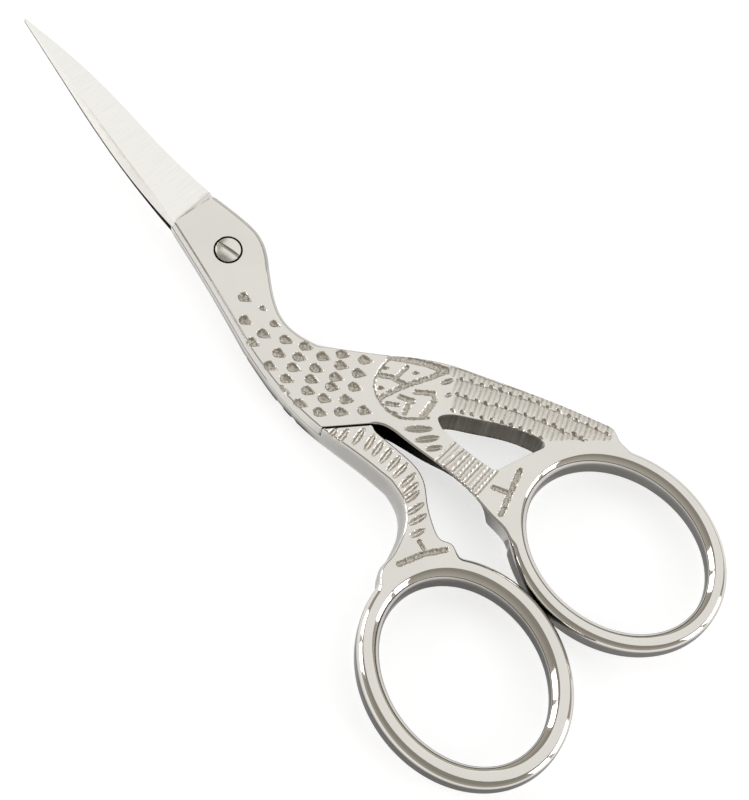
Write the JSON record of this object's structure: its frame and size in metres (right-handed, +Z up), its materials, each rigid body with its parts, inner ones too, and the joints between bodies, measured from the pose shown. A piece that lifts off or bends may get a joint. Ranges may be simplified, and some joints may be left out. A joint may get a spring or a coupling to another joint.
{
  "type": "embroidery scissors",
  "caption": "Small nickel-plated embroidery scissors shaped like a stork: slender pointed blades form the beak, carved body and legs lead to oval finger rings, and the halves turn on a screw.",
  "frame": {"origin": "centre of the closed scissors' outline, on the surface that they lie on", "axes": "+Y along the closed blades to the tips, +X towards the front half's finger ring, +Z up from the surface"},
  "size_m": [0.0404, 0.0952, 0.0045],
  "materials": {
    "plated_steel": "bright nickel plate, polished rings and flats, grainy cast pits in the carving, satin ground blades",
    "screw_steel": "bright nickel plate, polished"
  },
  "bodies": {
    "back": {"back_half": "plated_steel", "pivot_screw": "screw_steel"},
    "front": {"front_half": "plated_steel"}
  },
  "joints": [
    {"name": "pivot", "type": "hinge", "parent": "back", "child": "front", "pos_m": [0.0002, 0.01362, 0.00226], "axis": [0, 0, 1], "range_deg": [0, 150]}
  ]
}
